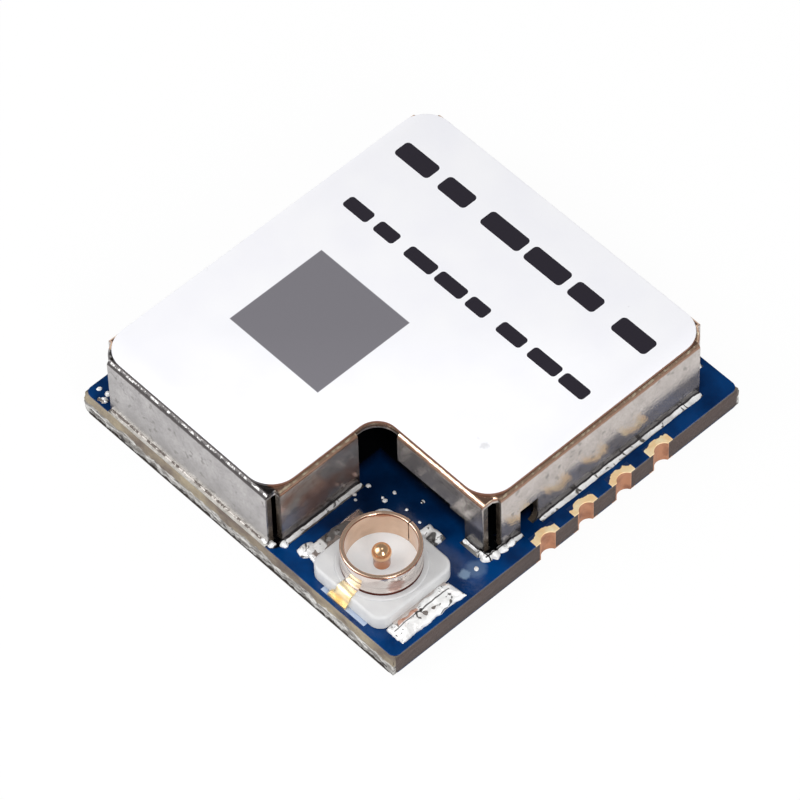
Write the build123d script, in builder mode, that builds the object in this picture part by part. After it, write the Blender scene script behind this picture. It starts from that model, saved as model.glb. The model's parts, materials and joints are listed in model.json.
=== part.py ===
"""Surface-mount radio module: a notched, folded shield can on a half-hole board.

Millimetres. The origin is the centre of the board's underside, +Z points away from the
board that the module is soldered to, and +X runs along the label's reading direction.
The coaxial receptacle stands in the can's notch, at the corner +X, -Y.
"""
import os

from build123d import *

os.makedirs("parts", exist_ok=True)


def write(piece, name):
    """Labels one finished piece and writes it as its own file."""
    piece.part.label = name
    export_step(piece.part, f"parts/{name}.step")


# Board
board_x = 11.0
board_y = 11.6
board_t = 0.7
mask_t = 0.03
score_in = 0.05
score_depth = 0.2
mask_round = 0.2

# Half-hole pads in the two side edges
pad_pitch = 1.27
pad_width = 0.78
pad_depth = 0.30
drill_r = 0.29
drill_out = 0.12
plating = 0.03
right_pad_count = 4
right_pad_start = 5.1
left_pad_count = 8

# Shield can
can_height = 1.9
sheet = 0.18
left_gap = 0.35
right_gap = 0.55
front_gap = 0.15
back_gap = 0.35
bend_r = 0.15
corner_r = 0.86
relief_r = 0.5
relief_end = 0.66
outer_end = 0.5
slit_front = 0.18
slit_notch = 0.32
slit_right = 0.45
notch_side_gap = 2.35
notch_end_gap = 2.12
leg_width = 0.62
arch_height = 0.9
arch_step = 0.15
arch_step_width = 0.5
trace_gap_width = 0.6
trace_gap_height = 0.85
trace_gap_round = 0.2
trace_gap_shift = -0.08

# Track and solder at the can's foot
track_inside = 0.25
side_solder = 0.14
left_solder = 0.05
notch_solder = 0.18
solder_rise = 0.15

# Label
label_t = 0.1
label_inset = 0.1

# Coaxial receptacle
coax_from_right = 1.98
coax_from_front = 1.53
moulding_size = 2.5
moulding_height = 0.45
moulding_round = 0.35
moulding_edge = 0.12
boss_r = 1.13
boss_height = 0.05
boss_draft = 30
core_draft = 3
ring_r = 1.0
ring_wall = 0.12
ring_height = 1.2
ring_flare = 0.02
ring_lip_r = 0.05
groove_depth = 0.05
groove_width = 0.24
groove_height = 0.7
seam = 0.04
tab_t = 0.1
tab_width = 1.7
tab_reach = 0.48
strap_t = 0.07
neck_width = 0.47
foot_width = 0.61
foot_shift = -0.155
foot_reach = 0.12
pin_r = 0.21
ball_r = 0.245
ball_height = 0.87
tail_t = 0.08
tail_width = 0.36
tail_reach = 0.45
tail_clearance = 0.14
land_margin = 0.08
front_land_width = 1.5
front_land_shift = 0.06
front_land_reach = 0.12
front_land_inside = 0.3

# Radio chip
chip_size = 4.0
chip_height = 0.85
chip_from_left = 3.3
chip_from_back = 5.6
terminal_length = 0.4
terminal_width = 0.25
terminal_t = 0.2
terminal_pitch = 0.5
terminal_count = 6
heat_pad = 2.6

# Clock oscillator
clock_x = 2.0
clock_y = 1.6
clock_height = 0.55
clock_notch_r = 0.15
clock_lid_t = 0.12
clock_lid_inset = 0.12
clock_gap = 0.7

# Antenna switch
switch_size = 1.5
switch_height = 0.6
switch_gap = 1.9
switch_pitch = 0.5
switch_terminals = 3

# Power inductor and the small two-terminal parts
choke_x = 2.0
choke_y = 1.2
choke_height = 1.0
choke_cap = 0.3
choke_gap = 0.8
small_length = 1.0
small_width = 0.5
small_cap = 0.22
small_gap = 0.45
small_round = 0.05
land_side = 0.05

# Levels and places worked out from the sizes above
core_bottom = mask_t
core_top = board_t - mask_t
top = board_t
half_x = board_x / 2
half_y = board_y / 2
front_solder = front_gap - score_in
score_y = half_y - score_in
can_left = -half_x + left_gap
can_right = half_x - right_gap
can_front = -half_y + front_gap
can_back = half_y - back_gap
can_top = top + can_height
plate_under = can_top - sheet
coax_x = half_x - coax_from_right
coax_y = -half_y + coax_from_front
notch_x = coax_x - notch_side_gap
notch_y = coax_y + notch_end_gap
right_pads = [(half_x, -half_y + right_pad_start + i * pad_pitch) for i in range(right_pad_count)]
left_pads = [(-half_x, (i - (left_pad_count - 1) / 2) * pad_pitch) for i in range(left_pad_count)]
drills = [(x + drill_out * x / half_x, y) for x, y in right_pads + left_pads]
trace_gap_y = right_pads[0][1] + trace_gap_shift
body_half = moulding_size / 2
tab_end = body_half + tab_reach
ring_top = top + ring_height
moulding_top = top + moulding_height

# Board core: scored from above along its front and back edges and snapped off there, with a
# drilled half-hole for each pad
with BuildPart() as circuit_board:
    with BuildSketch(Plane.YZ):
        with BuildLine():
            Polyline((-half_y, core_bottom), (half_y, core_bottom), (half_y, core_top - score_depth),
                     (score_y, core_top), (-score_y, core_top), (-half_y, core_top - score_depth),
                     close=True)
        make_face()
    extrude(amount=half_x, both=True)
    with BuildSketch(Plane.XY.offset(core_bottom)):
        with Locations(*drills):
            Circle(drill_r)
    extrude(amount=core_top - core_bottom, mode=Mode.SUBTRACT)
write(circuit_board, "circuit_board")

# Plated half-hole pads: a barrel with a land on each face, all cut off at the board's edge
for number, (pad_x, pad_y) in enumerate(right_pads + left_pads, start=1):
    drill = drills[number - 1]
    inward = -1 if pad_x > 0 else 1
    with BuildPart() as edge_pad:
        for level in (0, core_top):
            with BuildSketch(Plane.XY.offset(level)):
                with Locations((pad_x + inward * pad_depth / 2, pad_y)):
                    Rectangle(pad_depth, pad_width)
            extrude(amount=mask_t)
        with BuildSketch():
            with Locations(drill):
                Circle(drill_r)
        extrude(amount=board_t)
        with BuildSketch():
            with Locations(drill):
                Circle(drill_r - plating)
        extrude(amount=board_t, mode=Mode.SUBTRACT)
        with BuildSketch():
            with Locations((pad_x - inward * drill_r, pad_y)):
                Rectangle(2 * drill_r, 2 * pad_width)
        extrude(amount=board_t, mode=Mode.SUBTRACT)
    write(edge_pad, f"edge_pad_{number:02d}")

# Straight runs of the can's foot that are soldered: a plane at the run's start, with its
# own x pointing out of the wall and its own z along the wall, then length and solder width
left_run = can_back - can_front - 2 * outer_end
runs = {
    "front": [((can_left + outer_end, can_front), (0, -1), (1, 0),
               notch_x - can_left - outer_end - slit_front, front_solder)],
    "back": [((can_left + outer_end, can_back), (0, 1), (1, 0),
              can_right - can_left - 2 * outer_end, side_solder)],
    "left": [((can_left, can_front + outer_end), (-1, 0), (0, 1), left_run, left_solder)],
    "right": [((can_right, notch_y + slit_right), (1, 0), (0, 1),
               trace_gap_y - trace_gap_width / 2 - notch_y - slit_right, side_solder),
              ((can_right, trace_gap_y + trace_gap_width / 2), (1, 0), (0, 1),
               can_back - outer_end - trace_gap_y - trace_gap_width / 2, side_solder)],
    "notch_side": [((notch_x, can_front + slit_notch), (1, 0), (0, 1),
                    notch_y - relief_end - can_front - slit_notch, notch_solder)],
    "notch_end": [((can_right - leg_width - slit_front, notch_y), (0, -1), (1, 0),
                   leg_width, notch_solder)],
}


def track_land(start, outward, along, length, width):
    """Centre, turn and size of the track under one soldered run."""
    middle = (width - track_inside) / 2
    x = start[0] + outward[0] * middle + along[0] * length / 2
    y = start[1] + outward[1] * middle + along[1] * length / 2
    return (x, y, 0 if along[0] else 90, length, width + track_inside)


def land_faces(lands):
    """Flat faces for a list of lands, each given as x, y, turn, length and width."""
    with BuildSketch() as faces:
        for x, y, turn, length, width in lands:
            with Locations(Location((x, y, 0), (0, 0, turn))):
                Rectangle(length, width)
    return faces.sketch


# Tinned track that the can stands on
track_faces = land_faces([track_land(*run) for side in runs.values() for run in side])
with BuildPart() as shield_track:
    with BuildSketch(Plane.XY.offset(core_top)):
        add(track_faces)
    extrude(amount=mask_t)
write(shield_track, "shield_track")

# Receptacle lands: one under each side tab, one under the tail, one along the moulding's front
front_face = coax_y - body_half
side_land_x = body_half + tab_reach / 2
connector_faces = land_faces(
    [(coax_x + side * side_land_x, coax_y, 90, tab_width + 2 * land_margin, tab_reach + 2 * land_margin)
     for side in (-1, 1)]
    + [(coax_x, coax_y + body_half + tail_reach / 2, 90,
        tail_reach + 2 * land_margin, tail_width + 2 * land_margin),
       (coax_x + front_land_shift, front_face + (front_land_inside - front_land_reach) / 2, 0,
        front_land_width, front_land_inside + front_land_reach)])
with BuildPart() as connector_lands:
    with BuildSketch(Plane.XY.offset(core_top)):
        add(connector_faces)
    extrude(amount=mask_t)
write(connector_lands, "connector_lands")

# Places of the parts under the can
chip_place = (-half_x + chip_from_left, half_y - chip_from_back)
chip_left = chip_place[0] - chip_size / 2
chip_right = chip_place[0] + chip_size / 2
chip_front = chip_place[1] - chip_size / 2
chip_back = chip_place[1] + chip_size / 2
clock_place = (chip_left + clock_x / 2, chip_front - clock_gap - clock_y / 2)
switch_place = (chip_right + switch_gap + switch_size / 2, chip_place[1])
choke_place = (chip_place[0], chip_back + choke_gap + choke_y / 2)
step = small_width + small_gap
reach = small_length / 2 + small_gap
small_places = {
    "capacitor_1": (chip_right + reach, chip_place[1] + step / 2, 0),
    "capacitor_2": (chip_right + reach, chip_place[1] + step * 1.5, 0),
    "capacitor_3": (clock_place[0] + clock_x / 2 + reach, clock_place[1] + step / 2, 0),
    "capacitor_4": (clock_place[0] + clock_x / 2 + reach, clock_place[1] - step / 2, 0),
    "capacitor_5": (choke_place[0] + choke_x / 2 + small_gap + small_width / 2, choke_place[1], 90),
    "coil_1": (switch_place[0], switch_place[1] - switch_size / 2 - small_gap - small_width / 2, 0),
    "coil_2": (switch_place[0], switch_place[1] + switch_size / 2 + small_gap + small_width / 2, 0),
    "coil_3": (chip_left + reach, clock_place[1] - clock_y / 2 - small_gap - small_width / 2, 0),
}


def terminal_places(size, count, pitch, sides):
    """Centres and directions of the flat terminals round a square chip of this size."""
    places = []
    for turn in sides:
        for i in range(count):
            offset_along = (i - (count - 1) / 2) * pitch
            spot = Vector(size / 2 - terminal_length / 2, offset_along).rotate(Axis.Z, turn)
            places.append((spot.X, spot.Y, turn))
    return places


chip_spots = terminal_places(chip_size, terminal_count, terminal_pitch, (0, 90, 180, 270))
switch_spots = terminal_places(switch_size, switch_terminals, switch_pitch, (0, 180))

# Radio chip: terminals and heat pad first, then the moulding round them
with BuildPart() as radio_chip_terminals:
    with BuildSketch(Plane.XY.offset(top)):
        with Locations(chip_place):
            Rectangle(heat_pad, heat_pad)
        for x, y, turn in chip_spots:
            with Locations(Location((chip_place[0] + x, chip_place[1] + y, 0), (0, 0, turn))):
                Rectangle(terminal_length, terminal_width)
    extrude(amount=terminal_t)
write(radio_chip_terminals, "radio_chip_terminals")

with BuildPart() as radio_chip:
    with BuildSketch(Plane.XY.offset(top)):
        with Locations(chip_place):
            Rectangle(chip_size, chip_size)
    extrude(amount=chip_height)
    chamfer(radio_chip.edges().group_by(Axis.Z)[-1], small_round)
    add(radio_chip_terminals.part, mode=Mode.SUBTRACT)
write(radio_chip, "radio_chip")

# Clock oscillator: a ceramic cup with quarter-round corner notches, and its metal lid
with BuildPart() as clock_base:
    with BuildSketch(Plane.XY.offset(top)):
        with Locations(clock_place):
            Rectangle(clock_x, clock_y)
            with GridLocations(clock_x, clock_y, 2, 2):
                Circle(clock_notch_r, mode=Mode.SUBTRACT)
    extrude(amount=clock_height)
write(clock_base, "clock_base")

with BuildPart() as clock_lid:
    with BuildSketch(Plane.XY.offset(top + clock_height)):
        with Locations(clock_place):
            RectangleRounded(clock_x - 2 * clock_lid_inset, clock_y - 2 * clock_lid_inset, clock_notch_r)
    extrude(amount=clock_lid_t)
write(clock_lid, "clock_lid")

# Antenna switch: terminals along two sides, then the moulding round them
with BuildPart() as antenna_switch_terminals:
    with BuildSketch(Plane.XY.offset(top)):
        for x, y, turn in switch_spots:
            with Locations(Location((switch_place[0] + x, switch_place[1] + y, 0), (0, 0, turn))):
                Rectangle(terminal_length, terminal_width)
    extrude(amount=terminal_t)
write(antenna_switch_terminals, "antenna_switch_terminals")

with BuildPart() as antenna_switch:
    with BuildSketch(Plane.XY.offset(top)):
        with Locations(switch_place):
            Rectangle(switch_size, switch_size)
    extrude(amount=switch_height)
    chamfer(antenna_switch.edges().group_by(Axis.Z)[-1], small_round)
    add(antenna_switch_terminals.part, mode=Mode.SUBTRACT)
write(antenna_switch, "antenna_switch")

# Power inductor: a pressed core between two plated ends
with BuildPart() as choke_ends:
    with BuildSketch(Plane.XY.offset(top)):
        with Locations(choke_place):
            with GridLocations(choke_x - choke_cap, 0, 2, 1):
                Rectangle(choke_cap, choke_y)
    extrude(amount=choke_height)
    chamfer(choke_ends.edges().group_by(Axis.Z)[-1], small_round)
write(choke_ends, "choke_ends")

with BuildPart() as choke:
    with BuildSketch(Plane.XY.offset(top)):
        with Locations(choke_place):
            Rectangle(choke_x - 2 * choke_cap, choke_y)
    extrude(amount=choke_height - small_round)
write(choke, "choke")

# Small capacitors and coils: a ceramic bar between two plated ends
for name, (x, y, turn) in small_places.items():
    place = Location((x, y, 0), (0, 0, turn))
    with BuildPart() as small_ends:
        with BuildSketch(Plane.XY.offset(top)):
            with Locations(place):
                with GridLocations(small_length - small_cap, 0, 2, 1):
                    Rectangle(small_cap, small_width)
        extrude(amount=small_width)
        chamfer(small_ends.edges().group_by(Axis.Z)[-1], small_round)
    write(small_ends, f"{name}_ends")
    with BuildPart() as small_bar:
        with BuildSketch(Plane.XY.offset(top)):
            with Locations(place):
                Rectangle(small_length - 2 * small_cap, small_width)
        extrude(amount=small_width - small_round)
    write(small_bar, name)

# Lands under the hidden parts, each a little larger than the terminal that stands on it
hidden_lands = [(*chip_place, 0, heat_pad, heat_pad)]
for place, spots in ((chip_place, chip_spots), (switch_place, switch_spots)):
    hidden_lands += [(place[0] + x, place[1] + y, turn, terminal_length + land_side, terminal_width)
                     for x, y, turn in spots]
hidden_lands += [(clock_place[0] + side_x * clock_x / 4, clock_place[1] + side_y * clock_y / 4, 0,
                  clock_x / 3, clock_y / 3) for side_x in (-1, 1) for side_y in (-1, 1)]
hidden_lands += [(choke_place[0] + side * (choke_x - choke_cap) / 2, choke_place[1], 0,
                  choke_cap + land_side, choke_y + land_side) for side in (-1, 1)]
for x, y, turn in small_places.values():
    for side in (-1, 1):
        shift = Vector(side * (small_length - small_cap) / 2, 0).rotate(Axis.Z, turn)
        hidden_lands.append((x + shift.X, y + shift.Y, turn, small_cap + land_side, small_width + land_side))
inner_faces = land_faces(hidden_lands)
with BuildPart() as inner_lands:
    with BuildSketch(Plane.XY.offset(core_top)):
        add(inner_faces)
    extrude(amount=mask_t)
write(inner_lands, "inner_lands")

# Solder mask on each face, open over every land; above, it stops where the edges are scored
pad_windows = land_faces([(x - (1 if x > 0 else -1) * pad_depth / 2, y, 0, pad_depth, pad_width)
                          for x, y in right_pads + left_pads])
for name, level, mask_y, windows in (
        ("top", core_top, 2 * score_y, (pad_windows, track_faces, connector_faces, inner_faces)),
        ("bottom", 0, board_y, (pad_windows,))):
    with BuildPart() as solder_mask:
        with BuildSketch(Plane.XY.offset(level)):
            RectangleRounded(board_x, mask_y, mask_round)
            for window in windows:
                add(window, mode=Mode.SUBTRACT)
        extrude(amount=mask_t)
    write(solder_mask, f"solder_mask_{name}")


def can_outline(inset):
    """The can's notched outline as a face, moved in by inset."""
    left, right = can_left + inset, can_right - inset
    front, back = can_front + inset, can_back - inset
    inner_x, inner_y = notch_x - inset, notch_y + inset
    with BuildSketch() as outline:
        with BuildLine():
            Polyline((left, front), (inner_x, front), (inner_x, inner_y),
                     (right, inner_y), (right, back), (left, back), close=True)
        make_face()
        inner = outline.vertices().sort_by_distance((inner_x, inner_y))[0]
        fillet(inner, relief_r + inset)
        arc_ends = outline.vertices().sort_by_distance((inner_x, inner_y))[:2]
        fillet([v for v in outline.vertices() if v not in arc_ends], corner_r - inset)
    return outline.sketch


def flap(x, y, along, inward, end):
    """The folded end of one wall beside a rounded corner: wall, bend and the plate's edge."""
    plane = Plane(origin=(x + along[0] * end, y + along[1] * end, top), x_dir=(*inward, 0), z_dir=(*along, 0))
    up = 1 if plane.y_dir.Z > 0 else -1
    sag = bend_r * (1 - 0.5**0.5)
    with BuildPart() as piece:
        with BuildSketch(plane):
            with BuildLine():
                ThreePointArc((bend_r, up * can_height), (sag, up * (can_height - sag)),
                              (0, up * (can_height - bend_r)))
                Polyline((0, up * (can_height - bend_r)), (0, 0), (sheet, 0),
                         (sheet, up * (can_height - sheet)), (2 * sheet, up * (can_height - sheet)),
                         (2 * sheet, up * can_height), (bend_r, up * can_height))
            make_face()
        extrude(amount=corner_r - end)
    return piece.part


# The can's outer corners: place, directions into the can, and how far short of the corner
# the wall along x and the wall along y stop
outer_corners = [(can_left, can_front, 1, 1, outer_end, outer_end),
                 (notch_x, can_front, -1, 1, slit_front, slit_notch),
                 (can_right, notch_y, -1, 1, slit_front, slit_right),
                 (can_right, can_back, -1, -1, outer_end, outer_end),
                 (can_left, can_back, 1, -1, outer_end, outer_end)]
flaps = [flap(x, y, (to_x, 0), (0, to_y), end_x) for x, y, to_x, to_y, end_x, end_y in outer_corners]
flaps += [flap(x, y, (0, to_y), (to_x, 0), end_y) for x, y, to_x, to_y, end_x, end_y in outer_corners]
relief_middle = (relief_end - 2 * sheet) / 2
relief_size = relief_end + 2 * sheet

# Shield can: one folded sheet, slit at its outer corners and open at the notch's inner one
with BuildPart() as shield_can:
    with BuildSketch(Plane.XY.offset(top)):
        add(can_outline(0))
    extrude(amount=can_height)
    fillet(shield_can.faces().sort_by(Axis.Z)[-1].edges(), bend_r)
    with BuildSketch(Plane.XY.offset(top)):
        add(can_outline(sheet))
    extrude(amount=can_height - sheet, mode=Mode.SUBTRACT)
    # The rounded corners keep only the plate
    with BuildSketch(Plane.XY.offset(top)):
        for x, y, to_x, to_y, end_x, end_y in outer_corners:
            with Locations((x + to_x * (corner_r - sheet) / 2, y + to_y * (corner_r - sheet) / 2)):
                Rectangle(corner_r + sheet, corner_r + sheet)
        with Locations((notch_x + relief_middle, notch_y - relief_middle)):
            Rectangle(relief_size, relief_size)
    extrude(amount=can_height - sheet, mode=Mode.SUBTRACT)
    # At the inner corner the bend is cut away as well, up to the label's edge
    with BuildSketch(Plane.XY.offset(top)):
        with Locations((notch_x + relief_middle, notch_y - relief_middle)):
            Rectangle(relief_size, relief_size)
        add(can_outline(label_inset), mode=Mode.SUBTRACT)
    extrude(amount=can_height, mode=Mode.SUBTRACT)
    # The folded walls run on past the rounded corners
    for piece in flaps:
        add(piece)
    # Arch over the trace to the receptacle, stepped beside the leg that is left at the slit
    arch_left = notch_x
    arch_right = can_right - slit_front - leg_width
    arch_top = top + arch_height
    with BuildSketch(Plane.XZ.offset(-notch_y)):
        with BuildLine():
            Polyline((arch_left, top), (arch_right, top), (arch_right, arch_top - arch_step),
                     (arch_right - arch_step_width, arch_top - arch_step),
                     (arch_right - arch_step_width, arch_top), (arch_left, arch_top), close=True)
        make_face()
    extrude(amount=-sheet, mode=Mode.SUBTRACT)
    # Opening over the first pad's trace
    with BuildSketch(Plane.YZ.offset(can_right)) as trace_gap:
        with Locations((trace_gap_y, top + trace_gap_height / 2)):
            Rectangle(trace_gap_width, trace_gap_height)
        fillet(trace_gap.vertices().group_by(Axis.Z)[-1].sort_by(Axis.Y)[0], trace_gap_round)
    extrude(amount=-sheet, mode=Mode.SUBTRACT)
write(shield_can, "shield_can")

# Label over the can's whole top
with BuildPart() as label:
    with BuildSketch(Plane.XY.offset(can_top)):
        add(can_outline(label_inset))
    extrude(amount=label_t)
write(label, "label")

# Solder along each side's foot: a hollow fillet between the wall and the track
for side, side_runs in runs.items():
    with BuildPart() as solder:
        for start, outward, along, length, width in side_runs:
            plane = Plane(origin=(*start, top), x_dir=(*outward, 0), z_dir=(*along, 0))
            rise = solder_rise if plane.y_dir.Z > 0 else -solder_rise
            with BuildSketch(plane):
                with BuildLine():
                    Line((0, 0), (width, 0))
                    sag = (width * 0.35, rise * 0.35)
                    ThreePointArc((width, 0), sag, (0, rise))
                    Line((0, rise), (0, 0))
                make_face()
            extrude(amount=length)
    write(solder, f"shield_solder_{side}")

# Receptacle ring with its seam, two side tabs and the strap at its front. Below its snap
# groove it flares a little towards its foot
with BuildPart() as connector_ring:
    with BuildSketch(Plane.XZ.offset(-coax_y)):
        outer = coax_x + ring_r
        inner = outer - ring_wall
        groove_level = top + groove_height
        groove_low = groove_level - groove_width / 2
        groove_high = groove_level + groove_width / 2
        with BuildLine():
            Polyline((inner, top + tab_t), (outer + ring_flare, top + tab_t), (outer, groove_low))
            Polyline((outer, groove_low), (outer - groove_depth, groove_level), (outer, groove_high),
                     (outer, ring_top - ring_lip_r))
            RadiusArc((outer, ring_top - ring_lip_r), (outer - ring_lip_r, ring_top), -ring_lip_r)
            Polyline((outer - ring_lip_r, ring_top), (inner, ring_top), (inner, top + tab_t))
        make_face()
    revolve(axis=Axis((coax_x, coax_y, 0), (0, 0, 1)))
    # Seam, and the window through which the tail leaves below the ring
    with BuildSketch(Plane.XY.offset(top + tab_t)):
        with Locations((coax_x, coax_y + ring_r)):
            Rectangle(seam, 2 * ring_wall + 2 * seam)
    extrude(amount=ring_height, mode=Mode.SUBTRACT)
    with BuildSketch(Plane.XY.offset(top)):
        with Locations((coax_x, coax_y + ring_r)):
            Rectangle(tail_width + 2 * tail_clearance, ring_r)
    extrude(amount=tail_t + tail_clearance, mode=Mode.SUBTRACT)
    # Side tabs run out under the moulding to their feet on the lands
    with BuildSketch(Plane.XY.offset(top)):
        for side in (-1, 1):
            tab_inner = ring_r - 2 * ring_wall
            with Locations((coax_x + side * (tab_inner + tab_end) / 2, coax_y)):
                Rectangle(tab_end - tab_inner, tab_width)
    extrude(amount=tab_t)
    # Strap: a neck over the moulding's top, a slanting part down its front, and the foot
    strap_length = coax_y - ring_r + ring_wall / 2 - front_face + strap_t
    foot_x = coax_x + foot_shift
    with BuildSketch(Plane.XY.offset(moulding_top)):
        with Locations((coax_x, front_face - strap_t + strap_length / 2)):
            Rectangle(neck_width, strap_length)
    extrude(amount=strap_t)
    with BuildSketch(Plane.XZ.offset(-front_face)):
        with BuildLine():
            Polyline((coax_x - neck_width / 2, moulding_top + strap_t),
                     (coax_x + neck_width / 2, moulding_top + strap_t),
                     (foot_x + foot_width / 2, top), (foot_x - foot_width / 2, top), close=True)
        make_face()
    extrude(amount=strap_t)
    with BuildSketch(Plane.XY.offset(top)):
        with Locations((foot_x, front_face - foot_reach / 2)):
            Rectangle(foot_width, foot_reach)
    extrude(amount=strap_t)
write(connector_ring, "connector_ring")

# Centre contact: a ball-ended pin on a flat tail that leaves at the back
with BuildPart() as connector_pin:
    with BuildSketch(Plane.XZ.offset(-coax_y)):
        pin_side = coax_x + pin_r
        ball_level = top + ball_height
        with BuildLine():
            Polyline((coax_x, top), (pin_side, top), (pin_side, ball_level - (ball_r**2 - pin_r**2) ** 0.5))
            ThreePointArc((pin_side, ball_level - (ball_r**2 - pin_r**2) ** 0.5),
                          (coax_x + ball_r, ball_level), (coax_x, ball_level + ball_r))
            Line((coax_x, ball_level + ball_r), (coax_x, top))
        make_face()
    revolve(axis=Axis((coax_x, coax_y, 0), (0, 0, 1)))
    with BuildSketch(Plane.XY.offset(top)):
        with Locations((coax_x, coax_y + (body_half + tail_reach) / 2)):
            Rectangle(tail_width, body_half + tail_reach)
    extrude(amount=tail_t)
write(connector_pin, "connector_pin")

# White moulding that holds the ring and the pin apart: a low boss round the ring, a core in it
with BuildPart() as connector_body:
    with BuildSketch(Plane.XY.offset(top)):
        with Locations((coax_x, coax_y)):
            RectangleRounded(moulding_size, moulding_size, moulding_round)
    extrude(amount=moulding_height)
    fillet(connector_body.edges().group_by(Axis.Z)[-1], moulding_edge)
    with BuildSketch(Plane.XY.offset(moulding_top)):
        with Locations((coax_x, coax_y)):
            Circle(boss_r)
    extrude(amount=boss_height, taper=boss_draft)
    ring_foot = Plane.XY.offset(top + tab_t)
    with BuildSketch(ring_foot):
        with Locations((coax_x, coax_y)):
            Circle(ring_r)
    extrude(amount=moulding_height, mode=Mode.SUBTRACT)
    with BuildSketch(ring_foot):
        with Locations((coax_x, coax_y)):
            Circle(ring_r - ring_wall)
    extrude(amount=moulding_height - tab_t, taper=core_draft)
    add(connector_ring.part, mode=Mode.SUBTRACT)
    add(connector_pin.part, mode=Mode.SUBTRACT)
write(connector_body, "connector_body")

# Solder over the receptacle's feet: a low pillow on each land
tab_shape = {
    "right": (coax_x + body_half + tab_reach / 2, coax_y, tab_reach, tab_width, tab_t),
    "left": (coax_x - body_half - tab_reach / 2, coax_y, tab_reach, tab_width, tab_t),
    "signal": (coax_x, coax_y + body_half + tail_reach / 2, tail_width, tail_reach, tail_t),
}
for name, (x, y, size_x, size_y, foot_t) in tab_shape.items():
    with BuildPart() as solder:
        with BuildSketch(Plane.XY.offset(top)):
            with Locations((x, y)):
                Rectangle(size_x, size_y)
        extrude(amount=foot_t + land_margin)
        fillet(solder.edges().group_by(Axis.Z)[-1], land_margin * 0.9)
        for piece in (connector_ring, connector_pin, connector_body):
            add(piece.part, mode=Mode.SUBTRACT)
    write(solder, f"connector_solder_{name}")
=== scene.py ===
import json
import math

import bmesh
import bpy
from mathutils import Matrix, Vector, noise


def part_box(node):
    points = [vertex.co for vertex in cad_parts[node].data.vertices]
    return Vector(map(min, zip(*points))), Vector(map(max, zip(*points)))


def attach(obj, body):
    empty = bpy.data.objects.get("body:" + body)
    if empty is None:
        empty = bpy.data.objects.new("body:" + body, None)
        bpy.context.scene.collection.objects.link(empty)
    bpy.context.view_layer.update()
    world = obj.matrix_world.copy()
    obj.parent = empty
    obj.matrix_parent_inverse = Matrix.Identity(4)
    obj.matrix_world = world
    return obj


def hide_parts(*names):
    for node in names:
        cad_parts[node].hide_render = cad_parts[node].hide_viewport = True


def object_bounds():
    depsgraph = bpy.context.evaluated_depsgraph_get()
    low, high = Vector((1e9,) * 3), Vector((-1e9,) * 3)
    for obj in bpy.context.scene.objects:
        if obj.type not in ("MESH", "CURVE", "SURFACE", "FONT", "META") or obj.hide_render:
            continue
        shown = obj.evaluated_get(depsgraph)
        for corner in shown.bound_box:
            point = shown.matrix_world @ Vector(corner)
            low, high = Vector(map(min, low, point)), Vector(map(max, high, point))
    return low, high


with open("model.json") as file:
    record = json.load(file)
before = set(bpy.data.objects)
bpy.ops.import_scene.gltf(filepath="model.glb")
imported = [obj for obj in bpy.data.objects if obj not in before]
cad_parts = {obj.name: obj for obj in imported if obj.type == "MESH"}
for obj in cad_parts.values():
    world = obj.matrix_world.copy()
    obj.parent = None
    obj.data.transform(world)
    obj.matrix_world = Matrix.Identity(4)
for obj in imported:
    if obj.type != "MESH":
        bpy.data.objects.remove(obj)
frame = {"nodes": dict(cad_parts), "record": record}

cad_low, cad_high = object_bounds()
cad_nodes = frame["nodes"]
record = frame["record"]
mm = 0.001


def box_mm(node):
    """Lowest and highest corner of a CAD node, in millimetres."""
    low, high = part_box(node)
    return Vector(low) / mm, Vector(high) / mm


# Levels and lines read from the frame, in millimetres
board_low, board_high = box_mm("solder_mask_bottom")[0], box_mm("solder_mask_top")[1]
can_low, can_high = box_mm("shield_can")
label_high = box_mm("label")[1]
ring_low, ring_high = box_mm("connector_ring")
body_low, body_high = box_mm("connector_body")
board_top = board_high.z
board_front = box_mm("circuit_board")[0].y
board_back = box_mm("circuit_board")[1].y
notch_x = box_mm("shield_solder_notch_side")[0].x
notch_y = box_mm("shield_solder_notch_end")[1].y
coax = Vector(next(m["pos_m"] for m in record["mounts"] if m["name"] == "coax_plug_seat")) / mm
pad_1 = (box_mm("edge_pad_01")[0] + box_mm("edge_pad_01")[1]) / 2

# Shapes that this script draws finer than the frame does, in millimetres
ring_radius = 1.0
ring_wall = 0.12
ring_lip = 0.04
ring_flare = 0.02
groove_depth = 0.02
groove_width = 0.24
groove_rise = 0.7
seam_width = 0.04
tab_thickness = 0.1
tab_width = 1.7
moulding_half = 1.25
moulding_height = 0.45
moulding_round = 0.35
moulding_edge = 0.08
boss_radius = 1.13
boss_height = 0.05
boss_round = 0.03
boss_top = 1.2
strap_thickness = 0.07
strap_fold = 0.12
neck_width = 0.47
foot_width = 0.61
foot_shift = -0.155
foot_reach = 0.12
pin_radius = 0.21
ball_radius = 0.245
ball_rise = 0.87
tail_thickness = 0.08
tail_width = 0.36
tail_reach = 0.45
pad_pitch = 1.27
trace_gap_shift = -0.08
trace_gap_width = 0.6
score_depth = 0.2
tinned_back = -5.2
large_via = (4.98, -2.57)

# Past the object on every side
far = 9.0


# Short calls for building node trees
def put(tree, kind, *values, settings=None, **named):
    """Adds a node to the tree. Each value is a plain value or another node's output."""
    made = tree.nodes.new(kind)
    for key, value in (settings or {}).items():
        setattr(made, key, value)
    for key, value in [*enumerate(values), *named.items()]:
        socket = made.inputs[key if isinstance(key, int) else key.replace("_", " ")]
        if isinstance(value, bpy.types.NodeSocket):
            tree.links.new(value, socket)
        else:
            socket.default_value = value
    return made


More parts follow.
